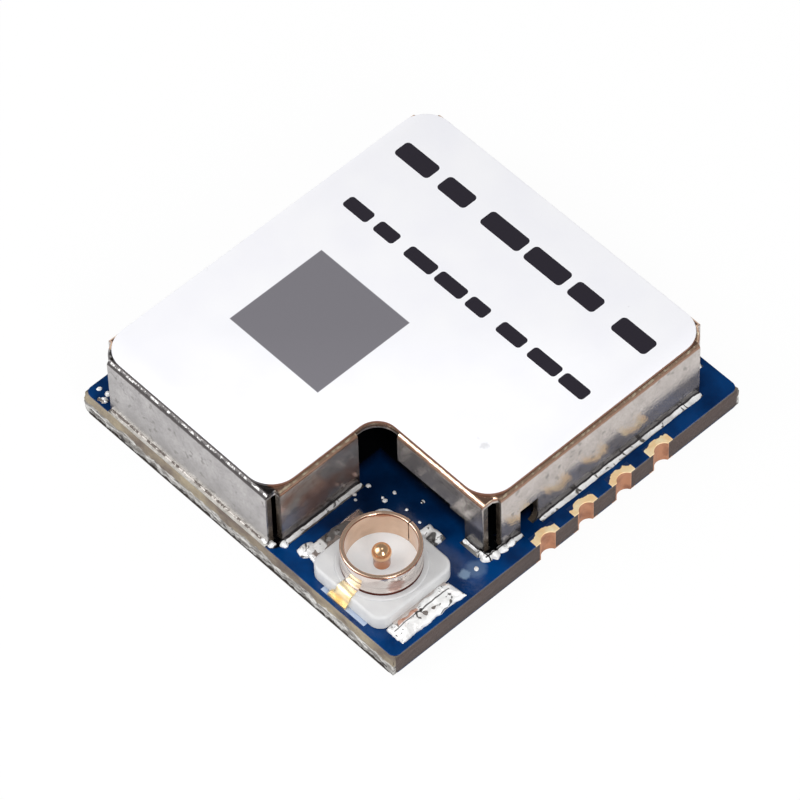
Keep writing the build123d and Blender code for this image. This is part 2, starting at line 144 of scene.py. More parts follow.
def calc(tree, operation, *values, clamp=False):
    """One Math node's output."""
    return put(tree, "ShaderNodeMath", *values,
               settings={"operation": operation, "use_clamp": clamp}).outputs[0]


def calc_vector(tree, operation, *values, **named):
    """One Vector Math node's output."""
    made = put(tree, "ShaderNodeVectorMath", *values, settings={"operation": operation}, **named)
    return made.outputs["Value" if operation in ("DOT_PRODUCT", "DISTANCE", "LENGTH") else "Vector"]


def product(tree, *masks):
    """Masks multiplied together."""
    total, *others = masks
    for mask in others:
        total = calc(tree, "MULTIPLY", total, mask)
    return total


def blend(tree, factor, first, second):
    """A colour that goes from the first to the second as the factor goes from 0 to 1."""
    mixer = put(tree, "ShaderNodeMix", settings={"data_type": "RGBA"})
    for socket, value in ((mixer.inputs[0], factor), (mixer.inputs[6], first), (mixer.inputs[7], second)):
        if isinstance(value, bpy.types.NodeSocket):
            tree.links.new(value, socket)
        else:
            socket.default_value = value
    return mixer.outputs[2]


def place_in_mm(tree):
    """Object coordinates in millimetres."""
    place = put(tree, "ShaderNodeTexCoord").outputs["Object"]
    return calc_vector(tree, "SCALE", place, Scale=1 / mm)


def colour(red, green, blue):
    """A linear colour from the 0 to 255 steps that a screen shows."""
    def linear(step):
        share = step / 255
        return share / 12.92 if share <= 0.04045 else ((share + 0.055) / 1.055) ** 2.4
    return (linear(red), linear(green), linear(blue), 1)


# Shared effects, each a node group that works in millimetres on Object coordinates
def new_group(name, inputs):
    """An empty node group that puts out a mask: its tree, its inputs, its mask socket and its coordinates."""
    tree = bpy.data.node_groups.new(name, "ShaderNodeTree")
    for label, kind, value in inputs:
        socket = tree.interface.new_socket(label, in_out="INPUT", socket_type=f"NodeSocket{kind}")
        socket.default_value = value
    tree.interface.new_socket("Mask", in_out="OUTPUT", socket_type="NodeSocketFloat")
    entry = tree.nodes.new("NodeGroupInput")
    leave = tree.nodes.new("NodeGroupOutput")
    return tree, entry.outputs, leave.inputs["Mask"], place_in_mm(tree)


def wander(tree, place, given, detail):
    """A noise about zero that makes an edge ragged."""
    cloud = put(tree, "ShaderNodeTexNoise", Vector=place, Scale=given["Grain"], Detail=detail).outputs[0]
    return calc(tree, "MULTIPLY", calc(tree, "SUBTRACT", cloud, 0.5), given["Ragged"])


def make_mottle():
    """Clouds of a given size: a mask that runs from Low to High of the noise."""
    tree, given, mask, place = new_group(
        "mottle", [("Scale", "Float", 5), ("Detail", "Float", 3), ("Low", "Float", 0.4),
                   ("High", "Float", 0.6), ("Stretch", "Vector", (1, 1, 1)), ("Twist", "Float", 0)])
    stretched = calc_vector(tree, "MULTIPLY", place, given["Stretch"])
    cloud = put(tree, "ShaderNodeTexNoise", Vector=stretched, Scale=given["Scale"],
                Detail=given["Detail"], Distortion=given["Twist"])
    ranged = put(tree, "ShaderNodeMapRange", cloud.outputs[0], given["Low"], given["High"], 0.0, 1.0)
    tree.links.new(ranged.outputs[0], mask)
    return tree


def make_slab():
    """A mask between two parallel planes, with soft and ragged edges."""
    tree, given, mask, place = new_group(
        "slab", [("Direction", "Vector", (0, 0, 1)), ("From", "Float", 0), ("To", "Float", 1),
                 ("Soft", "Float", 0.02), ("Ragged", "Float", 0), ("Grain", "Float", 6)])
    along = calc_vector(tree, "DOT_PRODUCT", place, given["Direction"])
    level = calc(tree, "ADD", along, wander(tree, place, given, 3.0))
    rise = calc(tree, "DIVIDE", calc(tree, "SUBTRACT", level, given["From"]), given["Soft"], clamp=True)
    fall = calc(tree, "DIVIDE", calc(tree, "SUBTRACT", given["To"], level), given["Soft"], clamp=True)
    tree.links.new(product(tree, rise, fall), mask)
    return tree


def make_spot():
    """A mask round one place, with a soft and ragged edge."""
    tree, given, mask, place = new_group(
        "spot", [("Place", "Vector", (0, 0, 0)), ("Radius", "Float", 0.2), ("Soft", "Float", 0.1),
                 ("Ragged", "Float", 0.1), ("Grain", "Float", 8)])
    away = calc(tree, "ADD", calc_vector(tree, "DISTANCE", place, given["Place"]),
                wander(tree, place, given, 4.0))
    inside = calc(tree, "SUBTRACT", given["Radius"], away)
    tree.links.new(calc(tree, "DIVIDE", inside, given["Soft"], clamp=True), mask)
    return tree


def make_dashes():
    """Bars with round corners in a row between two corners, of uneven lengths: plain printing."""
    tree, given, mask, place = new_group(
        "dashes", [("Left", "Float", -1), ("Right", "Float", 1), ("Low", "Float", 0), ("High", "Float", 1),
                   ("Pitch", "Float", 1), ("Share", "Float", 0.7), ("Corner", "Float", 0.1)])
    parts = put(tree, "ShaderNodeSeparateXYZ", place)
    along = calc(tree, "DIVIDE", calc(tree, "SUBTRACT", parts.outputs[0], given["Left"]), given["Pitch"])
    chance = put(tree, "ShaderNodeTexWhiteNoise", W=calc(tree, "FLOOR", along),
                 settings={"noise_dimensions": "1D"}).outputs["Value"]
    length = product(tree, given["Share"], calc(tree, "MULTIPLY_ADD", chance, 0.35, 0.65))
    half = product(tree, length, 0.5, given["Pitch"])
    middle = product(tree, calc(tree, "FRACT", along), given["Pitch"])
    across = calc(tree, "ABSOLUTE", calc(tree, "SUBTRACT", middle, half))
    reach_x = calc(tree, "SUBTRACT", across, calc(tree, "SUBTRACT", half, given["Corner"]))
    centre_y = product(tree, calc(tree, "ADD", given["Low"], given["High"]), 0.5)
    half_y = product(tree, calc(tree, "SUBTRACT", given["High"], given["Low"]), 0.5)
    aside = calc(tree, "ABSOLUTE", calc(tree, "SUBTRACT", parts.outputs[1], centre_y))
    reach_y = calc(tree, "SUBTRACT", aside, calc(tree, "SUBTRACT", half_y, given["Corner"]))
    outside = put(tree, "ShaderNodeCombineXYZ", calc(tree, "MAXIMUM", reach_x, 0.0),
                  calc(tree, "MAXIMUM", reach_y, 0.0), 0.0)
    bar = calc(tree, "LESS_THAN", calc_vector(tree, "LENGTH", outside.outputs[0]), given["Corner"])
    after = calc(tree, "GREATER_THAN", parts.outputs[0], given["Left"])
    before = calc(tree, "LESS_THAN", parts.outputs[0], given["Right"])
    tree.links.new(product(tree, bar, after, before), mask)
    return tree


effects = {"mottle": make_mottle(), "slab": make_slab(), "spot": make_spot(), "dashes": make_dashes()}
axes = {"x": (1, 0, 0), "y": (0, 1, 0), "z": (0, 0, 1)}


class Finish:
    """A material under way: its node tree, its one Principled BSDF and its base colour so far."""

    def __init__(self, name, **surface):
        self.material = bpy.data.materials.new(name)
        self.material.use_nodes = True
        self.tree = self.material.node_tree
        self.shader = self.tree.nodes["Principled BSDF"]
        self.base = None
        for key, value in surface.items():
            self.shader.inputs[key.replace("_", " ")].default_value = value

    def mask(self, name, **values):
        """One use of a shared effect."""
        made = put(self.tree, "ShaderNodeGroup", settings={"node_tree": effects[name]}, **values)
        return made.outputs["Mask"]

    def clouds(self, scale, low=0.3, high=0.7, **more):
        return self.mask("mottle", Scale=scale, Low=low, High=high, **more)

    def band(self, axis, first=-far, last=far, soft=0.02, **more):
        """A mask from one place to another along an axis."""
        return self.mask("slab", Direction=axes[axis], From=first, To=last, Soft=soft, **more)

    def box(self, low, high, soft=0.02):
        """A mask over a rectangle of the board, from its lower to its higher corner in x and y."""
        return self.both(self.band("x", low[0], high[0], soft), self.band("y", low[1], high[1], soft))

    def spot(self, place, radius, soft=0.1, **more):
        return self.mask("spot", Place=place, Radius=radius, Soft=soft, **more)

    def under_can(self, inset, soft=0.02):
        """A mask over what lies inside the can's outline, drawn in by the inset."""
        back = (can_high.x - inset, can_high.y - inset)
        wide = self.box((can_low.x + inset, notch_y + inset), back, soft)
        deep = self.box((can_low.x + inset, can_low.y + inset), (notch_x - inset, back[1]), soft)
        return self.either(wide, deep)

    def both(self, *masks):
        return product(self.tree, *masks)

    def either(self, first, second):
        return calc(self.tree, "MAXIMUM", first, second)

    def outside(self, mask):
        return calc(self.tree, "SUBTRACT", 1.0, mask)

    def blend(self, factor, first, second):
        return blend(self.tree, factor, first, second)

    def tint(self, mask, tone, strength=1.0):
        """Lays a tone over the base colour where the mask is."""
        share = mask if strength == 1.0 else self.both(mask, strength)
        self.base = self.blend(share, self.base, tone)

    def between(self, mask, low, high):
        """A value that goes from low to high as the mask goes from 0 to 1."""
        return put(self.tree, "ShaderNodeMapRange", mask, 0.0, 1.0, low, high).outputs[0]

    def feed(self, **outputs):
        """Links outputs to the shader's sockets by name."""
        for key, output in outputs.items():
            self.tree.links.new(output, self.shader.inputs[key.replace("_", " ")])

    def done(self, height, depth_mm):
        """Links the base colour and a relief of the given depth, and gives the material."""
        relief = put(self.tree, "ShaderNodeBump", Strength=1.0, Distance=depth_mm * mm, Height=height)
        self.feed(Base_Color=self.base, Normal=relief.outputs[0])
        return self.material


# Finishes
def solder_mask_finish():
    look = Finish("deep blue solder mask", Roughness=0.2, Specular_IOR_Level=0.24)
    look.base = look.blend(look.clouds(1.1, 0.35, 0.65), colour(0, 36, 80), colour(1, 56, 112))
    halo = look.spot((*large_via, board_top), 0.3, 0.12)
    patch = look.spot((4.90, -2.88, board_top), 0.17, 0.06, Ragged=0.15)
    look.tint(look.either(look.both(halo, 0.22), look.both(patch, 0.6)), colour(140, 166, 190))
    # Painted shade in the notch's inner corner
    notch_corner_shade = look.spot((notch_x + 0.9, notch_y - 0.5, board_top), 2.1, 1.5, Ragged=0.5, Grain=1.5)
    look.tint(notch_corner_shade, colour(4, 12, 24), 0.6)
    # Painted shade under the can, so that its slits and its arch look deep
    slits = look.either(*[look.spot((x - 0.25, y + 0.25, board_top), 0.38, 0.06)
                          for x, y in ((notch_x, can_low.y), (can_high.x, notch_y))])
    under = look.either(look.under_can(0.12, 0.3), slits)
    look.tint(look.both(look.band("z", 0.3), under), colour(6, 7, 10))
    # Torn edge of the underside's mask along the snapped sides
    whole = look.box((-far, board_front + 0.08), (far, board_back - 0.08))
    look.tint(look.both(look.band("z", last=0.06), look.outside(whole)), colour(66, 60, 57))
    return look.done(look.clouds(7.0), 0.003)


def laminate_finish():
    look = Finish("sawn laminate", Roughness=0.7)
    dark = colour(58, 52, 50)
    streak = look.clouds(3.0, 0.2, 0.8, Detail=4.0, Stretch=(0.4, 0.4, 5.0))
    look.base = look.blend(streak, colour(70, 58, 55), colour(84, 70, 66))
    look.tint(look.band("z", board_top - 0.1, soft=0.05, Ragged=0.1), colour(130, 124, 112), 0.35)
    scored = look.either(look.band("y", last=board_front + 0.1, soft=0.01),
                         look.band("y", board_back - 0.1, soft=0.01))
    tan = look.clouds(2.2, 0.35, 0.65, Detail=5.0, Stretch=(0.5, 1, 1))
    look.tint(scored, look.blend(tan, colour(104, 92, 84), colour(158, 146, 124)))
    broken = look.band("z", last=board_top - 0.33, soft=0.04, Ragged=0.35, Grain=2.5)
    chips = look.clouds(6.0, 0.4, 0.6, Detail=6.0, Stretch=(0.45, 1, 1.4), Twist=0.6)
    flecks = look.clouds(8.0, 0.58, 0.66, Detail=4.0, Stretch=(0.5, 1, 1))
    rough = look.blend(flecks, look.blend(chips, colour(128, 124, 120), colour(214, 213, 210)), dark)
    look.tint(look.both(scored, broken), rough)
    foot = look.band("z", last=0.07, soft=0.03, Ragged=0.05)
    look.tint(look.both(scored, foot), dark, 0.8)
    return look.done(look.clouds(12.0, 0.2, 0.8, Detail=5.0), 0.02)


def can_finish():
    look = Finish("rolled shield sheet")
    top = can_high.z
    # The front wall is duller than the others
    front = look.band("y", last=can_low.y + 0.35, soft=0.05)
    others = look.outside(front)
    cloud = look.clouds(2.2, Detail=6.0)
    dull = look.blend(cloud, colour(170, 167, 168), colour(196, 193, 193))
    bright = look.blend(cloud, colour(186, 178, 173), colour(208, 200, 195))
    look.base = look.blend(front, bright, dull)
    grain = look.clouds(16.0, Detail=4.0)
    look.tint(grain, colour(116, 110, 106), 0.3)
    # Painted shade: the front wall darker towards its foot
    low = look.band("z", last=board_top + 1.0, soft=0.7)
    look.tint(look.both(low, front), colour(120, 116, 114), 0.3)
    look.tint(look.clouds(4.0, 0.62, 0.68), colour(96, 92, 88), 0.45)
    # Warm reflections on the notch's left wall
    left = look.box((notch_x - 0.04, -far), (notch_x + 0.04, notch_y + 0.05))
    look.tint(look.both(left, look.clouds(1.3, 0.42, 0.62)), colour(166, 112, 90), 0.6)
    # Painted shade: the foot is dark just above the solder, and the leg beside the notch's slit further up
    foot = look.band("z", last=board_top + 0.34, soft=0.12, Ragged=0.1, Grain=3.0)
    look.tint(look.both(foot, others), colour(44, 43, 46), 0.8)
    leg = look.both(look.box((notch_x + 0.3, notch_y - 0.05), (can_high.x + 0.1, notch_y + 0.05)),
                    look.band("z", last=board_top + 0.95, soft=0.2, Ragged=0.2, Grain=3.0))
    look.tint(leg, colour(48, 45, 46), 0.8)
    # Painted shade on the inner faces, and the darker sheared ends beside the slits
    inner = look.both(look.under_can(0.03), look.band("z", last=top - 0.17))
    look.tint(inner, look.blend(cloud, colour(36, 31, 27), colour(104, 92, 80)))
    # Painted shade and highlights on the fold under the label: a dark line, a light broken line of glints and
    # a second dark line
    shade_tone = look.blend(others, colour(92, 88, 88), colour(150, 118, 100))
    highlight_tone = look.blend(others, colour(70, 68, 68), colour(206, 172, 146))
    glint_tone = look.blend(others, colour(156, 155, 154), colour(255, 236, 206))
    look.tint(look.band("z", top - 0.13, Ragged=0.03, Grain=7.0), shade_tone)
    light = look.band("z", top - 0.052, top - 0.012, 0.006, Ragged=0.012, Grain=9.0)
    look.tint(light, look.blend(look.clouds(7.0, 0.5, 0.58), highlight_tone, glint_tone))
    metal = calc(look.tree, "SUBTRACT", look.between(front, 0.74, 1.0), look.both(inner, 0.5))
    look.feed(Roughness=look.between(front, 0.06, 0.26), Metallic=metal)
    return look.done(grain, 0.0022)


def label_finish():
    look = Finish("matte label film", Roughness=0.6, Specular_IOR_Level=0.2)
    look.base = look.blend(look.clouds(0.7, Detail=2.0), colour(237, 237, 240), colour(233, 233, 238))
    # Faint smudges: x, y, radius, strength
    for x, y, radius, strength in ((3.55, -0.92, 0.13, 0.28), (3.30, -0.86, 0.06, 0.15),
                                   (-5.01, -2.05, 0.03, 0.4), (2.97, 4.48, 0.03, 0.5)):
        smudge = look.spot((x, y, label_high.z), radius, 0.08, Ragged=0.3, Grain=10.0)
        look.tint(smudge, colour(140, 140, 142), strength)
    # Plain printing: two rows of bars and one grey field
    for left, right, low, high, pitch, corner in ((-4.5, 4.6, 3.68, 4.2, 1.52, 0.12),
                                                  (-4.2, 4.4, 1.66, 2.04, 1.08, 0.1)):
        bars = look.mask("dashes", Left=left, Right=right, Low=low, High=high, Pitch=pitch, Share=0.92,
                         Corner=corner)
        look.tint(bars, colour(38, 34, 44))
    look.tint(look.box((-3.5, -2.7), (-0.35, 0.35)), colour(116, 114, 120))
    # Cut edge, in the film's own darker edge tone and painted shade: grey along the front, brown in the notch
    # and on the right
    front = look.band("y", last=can_low.y + 0.3, soft=0.05)
    edge = look.band("z", last=label_high.z - 0.016, soft=0.008)
    look.tint(edge, look.blend(front, colour(128, 92, 76), colour(92, 88, 88)))
    return look.done(look.clouds(20.0, 0.2, 0.8), 0.001)


def solder_finish():
    look = Finish("bright solder", Metallic=0.12, Roughness=0.12)
    look.base = look.blend(look.clouds(3.0, 0.35, 0.65, Detail=4.0), colour(246, 246, 245),
                           colour(255, 255, 255))
    # Painted reflections and shade: grey marbling and dark blotches over the bright solder
    look.tint(look.clouds(2.4, 0.50, 0.62, Detail=4.0, Twist=0.8), colour(176, 172, 170), 0.4)
    look.tint(look.clouds(3.6, 0.60, 0.64, Detail=2.0, Twist=1.5), colour(52, 46, 43), 0.9)
    # The receptacle's left tab shows through its solder, and copper and a seam through the right pool
    tab = look.box((ring_low.x - 0.05, coax.y - 0.45), (body_low.x, coax.y + 0.9), 0.05)
    look.tint(tab, colour(78, 70, 66), 0.9)
    side = body_high.x
    copper = look.box((side - 0.1, coax.y - 0.85), (side + 0.2, coax.y - 0.15), 0.03)
    look.tint(copper, colour(196, 138, 110), 0.85)
    look.tint(look.box((side + 0.2, coax.y - 1.0), (side + 0.25, coax.y + 0.8)), colour(44, 38, 36))
    # Dark clouds on the far half of the tail's pool
    pool = look.box((coax.x, body_high.y), (coax.x + 0.6, body_high.y + 0.8), 0.06)
    look.tint(look.both(pool, look.clouds(3.4, 0.44, 0.5, Twist=0.6)), colour(32, 27, 26), 0.9)
    # Painted shade: a dark line where the solder meets the walls, but not on the receptacle's pools
    away = look.outside(look.box((ring_low.x - 0.3, can_low.y), (far, body_high.y + 0.8)))
    for axis, first, last in (("x", can_high.x - 0.02, can_high.x + 0.03),
                              ("x", notch_x - 0.02, notch_x + 0.045), ("y", notch_y - 0.03, notch_y + 0.02)):
        line = look.band(axis, first, last, 0.01, Ragged=0.04, Grain=5.0)
        look.tint(look.both(line, away), colour(38, 34, 36))
    # Thin run along the front wall, in dark and light blotches
    run = look.box((-far, -far), (notch_x - 0.4, can_low.y + 0.02))
    look.tint(run, look.blend(look.clouds(8.0, 0.50, 0.56), colour(96, 86, 80), colour(212, 206, 200)))
    return look.done(look.clouds(5.0, 0.2, 0.8, Detail=2.0), 0.01)


def pad_gold_finish():
    look = Finish("satin gold plate", Metallic=0.1, Roughness=0.45)
    tree = look.tree
    land = look.blend(look.clouds(5.0, 0.35, 0.7, Detail=4.0), colour(252, 214, 160), colour(255, 238, 196))
    copper = look.blend(look.clouds(3.0, 0.45, 0.7), colour(178, 124, 92), colour(140, 90, 64))
    barrel = look.band("z", last=board_top - 0.035, soft=0.01)
    look.base = look.blend(barrel, land, copper)
    # The mask laps over the lands on the right in a ragged line
    parts = put(tree, "ShaderNodeSeparateXYZ", place_in_mm(tree))
    aside = calc(tree, "PINGPONG", calc(tree, "SUBTRACT", parts.outputs[1], pad_1.y), pad_pitch / 2)
    inward = calc(tree, "SUBTRACT", cad_high[0] / mm, parts.outputs[0])
    reach = calc(tree, "MULTIPLY_ADD", aside, 0.45, inward)
    ragged = calc(tree, "MULTIPLY_ADD", look.clouds(4.0, 0.2, 0.8, Detail=4.0), 0.22, reach)
    lap = calc(tree, "GREATER_THAN", ragged, 0.46)
    right = look.band("x", 0.0, soft=0.01)
    look.tint(look.both(lap, right, look.outside(barrel)), colour(2, 44, 92))
    # The land in front of the receptacle is tinned
    look.tint(look.band("y", last=tinned_back, soft=0.01), colour(176, 190, 212))
    return look.done(look.clouds(10.0, 0.2, 0.8), 0.008)


def contact_gold_finish():
    look = Finish("polished rose gold", Metallic=0.8)
    tree = look.tree
    cloud = look.clouds(3.0)
    # Painted reflection: paler outside the ring than inside it, where the white moulding shows in the metal
    flat = calc_vector(tree, "MULTIPLY", place_in_mm(tree), (1, 1, 0))
    away = calc_vector(tree, "DISTANCE", flat, (coax.x, coax.y, 0))
    outer = calc(tree, "GREATER_THAN", away, ring_radius - 0.07)
    look.base = look.blend(outer, look.blend(cloud, colour(212, 182, 158), colour(226, 196, 172)),
                           look.blend(cloud, colour(210, 198, 192), colour(226, 218, 212)))
    # Painted highlight, dark reflection and shade: a pale rim, a brown lip and a dark line round the ring's
    # foot
    look.tint(look.band("z", ring_high.z - 0.05, soft=0.01, Ragged=0.03), colour(136, 80, 54))
    look.tint(look.band("z", ring_high.z - 0.016, soft=0.006, Ragged=0.01), colour(250, 214, 188))
    half = neck_width / 2 + 0.02
    clear = look.outside(look.box((coax.x - half, -far), (coax.x + half, coax.y - 0.9)))
    foot = look.band("z", boss_top - 0.02, boss_top + 0.09, 0.015, Ragged=0.02)
    look.tint(look.both(foot, outer, clear), colour(84, 36, 24))
    # Painted reflection: a pinkish-brown patch on the ring's front right
    look.tint(look.spot((4.44, -4.66, 1.5), 0.26, Ragged=0.2), colour(168, 120, 104), 0.7)
    # Painted shade: the ball is browner below
    under = look.band("z", last=board_top + ball_rise - 0.02, soft=0.08)
    ball_lit_and_shaded = look.blend(under, colour(246, 202, 158), colour(206, 140, 100))
    look.tint(calc(tree, "LESS_THAN", away, ball_radius + 0.055), ball_lit_and_shaded)
    # The strap is yellower, with painted brown shade in its fold
    strap_mask = look.band("y", last=coax.y - ring_radius - 0.02)
    gold = look.blend(look.clouds(2.5, 0.4, 0.6), colour(246, 210, 146), colour(255, 238, 196))
    look.tint(strap_mask, gold)
    look.tint(look.spot((3.22, -5.50, 1.08), 0.16, Ragged=0.12), colour(124, 92, 48), 0.85)
    look.feed(Roughness=look.between(strap_mask, 0.12, 0.4))
    return look.done(look.clouds(9.0, 0.2, 0.8, Detail=4.0), 0.001)


def moulding_finish():
    look = Finish("white moulded plastic", Roughness=0.34, Specular_IOR_Level=0.4,
                  Emission_Color=(0.92, 0.97, 1.0, 1))
    look.base = look.blend(look.clouds(2.5), colour(200, 200, 201), colour(208, 208, 208))
    # Painted light: the floor inside the ring glows, in place of the light that the ring throws on it
    away = calc_vector(look.tree, "DISTANCE", place_in_mm(look.tree), (coax.x, coax.y, board_top + 0.4))
    inside = calc(look.tree, "LESS_THAN", away, ring_radius - 0.05)
    look.feed(Emission_Strength=look.both(inside, 0.3))
    return look.done(look.clouds(14.0, 0.2, 0.8), 0.002)


def plain_finish(name, dark, light, roughness, metallic=0.0, cloud=6.0, grain=18.0, depth=0.004):
    """A plain finish: two tones in clouds and a fine relief."""
    look = Finish(name, Roughness=roughness, Metallic=metallic)
    look.base = look.blend(look.clouds(cloud, Detail=4.0), dark, light)
    return look.done(look.clouds(grain, 0.2, 0.8), depth)


finishes = {
    "laminate": laminate_finish(),
    "solder_mask": solder_mask_finish(),
    "pad_gold": pad_gold_finish(),
    "track_tin": plain_finish("tinned track", colour(168, 166, 160), colour(206, 205, 200), 0.3, 1.0,
                              cloud=5.0, grain=14.0, depth=0.006),
    "can_sheet": can_finish(),
    "label_film": label_finish(),
    "solder": solder_finish(),
    "moulding": moulding_finish(),
    "contact_gold": contact_gold_finish(),
    "chip_moulding": plain_finish("black chip moulding", colour(26, 26, 28), colour(40, 40, 42), 0.6),
    "terminal_tin": plain_finish("matte tin", colour(176, 175, 170), colour(205, 204, 200), 0.35, 1.0),
    "ceramic_light": plain_finish("tan ceramic", colour(178, 148, 112), colour(198, 168, 130), 0.5),
    "ceramic_dark": plain_finish("dark ferrite", colour(58, 56, 56), colour(76, 74, 72), 0.65),
    "lid_metal": plain_finish("plated lid", colour(190, 186, 172), colour(212, 208, 196), 0.28, 1.0),
}
slot_of = {row["node"]: row["material_slot"] for row in record["subparts"]}


# Finished pieces
def finish_piece(bm, name, slot, *replaced, smooth_angle=38):
    """Turns a mesh drawn in millimetres into a piece that rides on the body and stands for its CAD nodes."""
    bmesh.ops.scale(bm, vec=(mm, mm, mm), verts=bm.verts)
    for face in bm.faces:
        face.smooth = True
    mesh = bpy.data.meshes.new(name)
    bm.to_mesh(mesh)
    bm.free()
    mesh.set_sharp_from_angle(angle=math.radians(smooth_angle))
    mesh.materials.append(finishes[slot])
    piece = bpy.data.objects.new(name, mesh)
    bpy.context.scene.collection.objects.link(piece)
    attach(piece, "root")
    if replaced:
        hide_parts(*replaced)
    return piece


def copy_of(node):
    """A merged copy of a CAD node's mesh, in millimetres, with its flat faces joined up."""
    bm = bmesh.new()
    bm.from_mesh(cad_nodes[node].data)
    bmesh.ops.scale(bm, vec=(1 / mm, 1 / mm, 1 / mm), verts=bm.verts)
    bmesh.ops.remove_doubles(bm, verts=bm.verts, dist=0.0005)
    bmesh.ops.dissolve_limit(bm, angle_limit=math.radians(0.6), verts=bm.verts, edges=bm.edges)
    return bm


def outward_normals(bm):
    bmesh.ops.remove_doubles(bm, verts=bm.verts, dist=0.0002)
    bmesh.ops.recalc_face_normals(bm, faces=bm.faces)


def round_edges(bm, edges, by, segments):
    bmesh.ops.bevel(bm, geom=edges, offset=by, offset_type="OFFSET", segments=segments, profile=0.5,
                    affect="EDGES", material=-1)


def steps(first, last, size):
    """Evenly spaced places strictly between two ends, about one size apart."""
    count = max(2, round((last - first) / size))
    return [first + (last - first) * i / count for i in range(1, count)]


def board_piece():
    """The laminate, with its scored and snapped front and back edges chipped."""
    bm = copy_of("circuit_board")
    cuts = [(Vector((x, 0, 0)), axes["x"]) for x in steps(board_low.x, board_high.x, 0.09)]
    cuts += [(Vector((0, 0, z)), axes["z"]) for z in steps(0.23, board_top - score_depth - 0.03, 0.06)]
    cuts += [(Vector((0, side * (board_back - inset), 0)), axes["y"])
             for side in (-1, 1) for inset in (0.02, 0.04, 0.06)]
    for place, across in cuts:
        bmesh.ops.bisect_plane(bm, geom=bm.verts[:] + bm.edges[:] + bm.faces[:], plane_co=place,
                               plane_no=across, dist=1e-5)
    snap_line = board_back - 0.075
    for vert in bm.verts:
        if abs(vert.co.y) > snap_line:
            coarse = noise.noise(vert.co * 2.3)
            fine = noise.noise(Vector((vert.co.x * 9, vert.co.y * 9, vert.co.z * 14)))
            depth = max(0, 0.02 + 0.02 * coarse + 0.035 * fine)
            vert.co.y -= math.copysign(min(depth, 0.055), vert.co.y)
    return finish_piece(bm, "board_laminate", "laminate", "circuit_board", smooth_angle=50)


def can_piece():
    """The folded shield can."""
    return finish_piece(copy_of("shield_can"), "shield_can_sheet", "can_sheet", "shield_can", smooth_angle=32)


def label_piece():
    """The label with its cut edge just rounded."""
    bm = copy_of("label")
    rim = [e for e in bm.edges if all(v.co.z > label_high.z - 0.001 for v in e.verts) and not e.is_boundary
           and any(abs(f.normal.z) < 0.5 for f in e.link_faces)]
    round_edges(bm, rim, 0.02, 2)
    return finish_piece(bm, "label_sheet", "label_film", "label", smooth_angle=40)


# Coaxial receptacle
def close_end(bm, edges):
    """A face over one end of a sweep."""
    bmesh.ops.contextual_create(bm, geom=[e for e in edges if isinstance(e, bmesh.types.BMEdge)])


def lathe(bm, profile, start, sweep, count):
    """Spins a profile of (radius, height) points about the receptacle's axis and caps a partial turn."""
    turn = Matrix.Rotation(start, 4, "Z")
    verts = [bm.verts.new(turn @ Vector((radius, 0, height)) + Vector((coax.x, coax.y, 0)))
             for radius, height in profile]
    edges = [bm.edges.new((verts[i - 1], verts[i])) for i in range(len(verts))]
    whole = sweep > math.tau - 1e-6
    made = bmesh.ops.spin(bm, geom=verts + edges, cent=(coax.x, coax.y, 0), axis=axes["z"], angle=sweep,
                          steps=count, use_merge=whole, use_duplicate=False)
    if not whole:
        close_end(bm, edges)
        close_end(bm, made["geom_last"])


def arc_points(centre, radius, first, last, count):
    """Points on an arc in the profile's plane, angles in degrees."""
    angles = [math.radians(first + (last - first) * i / count) for i in range(count + 1)]
    return [(centre[0] + radius * math.cos(a), centre[1] + radius * math.sin(a)) for a in angles]


def block(bm, low, high, round_by=0.0):
    """A box between two corners, with its edges rounded."""
    low, high = Vector(low), Vector(high)
    made = bmesh.ops.create_cube(bm, size=1.0)["verts"]
    bmesh.ops.scale(bm, vec=high - low, verts=made)
    bmesh.ops.translate(bm, vec=(low + high) / 2, verts=made)
    if round_by:
        round_edges(bm, list(dict.fromkeys(e for v in made for e in v.link_edges)), round_by, 2)


def strap(bm):
    """The strap over the moulding's front: a neck, a rounded fold, a slanting apron and the foot."""
    front = body_low.y
    top = board_top + moulding_height
    foot = coax.x + foot_shift
    fold = strap_fold
    # Each row crosses the strap: y, z and the two ends along x
    neck = (coax.x - neck_width / 2, coax.x + neck_width / 2)
    ends = (foot - foot_width / 2, foot + foot_width / 2)
    rows = [(coax.y - ring_radius + ring_wall / 2, top, *neck), (front + 0.3, top + 0.004, *neck)]
    for degrees in (0, 18, 36, 54, 72, 90):
        angle = math.radians(degrees)
        rows.append((front + fold - fold * math.sin(angle), top - fold + fold * math.cos(angle), *neck))
    bottom = board_top + strap_thickness
    for share in (0.35, 0.7, 1.0):
        z = top - fold + (bottom + 0.03 - top + fold) * share
        rows.append((front, z, neck[0] + (ends[0] - neck[0]) * share, neck[1] + (ends[1] - neck[1]) * share))
    rows.append((front - 0.03, board_top + 0.01, *ends))
    rows.append((front - foot_reach, board_top, *ends))
    across = 8
    grid = []
    for y, z, low, high in rows:
        line = []
        for i in range(across + 1):
            x = low + (high - low) * i / across
            sway = 0.008 * noise.noise(Vector((x * 4, y * 4, z * 4)))
            line.append(bm.verts.new((x, y - sway, z + sway)))
        grid.append(line)
    skin = [bm.faces.new((a[i], a[i + 1], b[i + 1], b[i])) for a, b in zip(grid, grid[1:])
            for i in range(across)]
    for face in skin:
        face.normal_update()
        if face.normal.z - face.normal.y < 0:
            face.normal_flip()
    bmesh.ops.solidify(bm, geom=skin, thickness=-strap_thickness * 0.8)


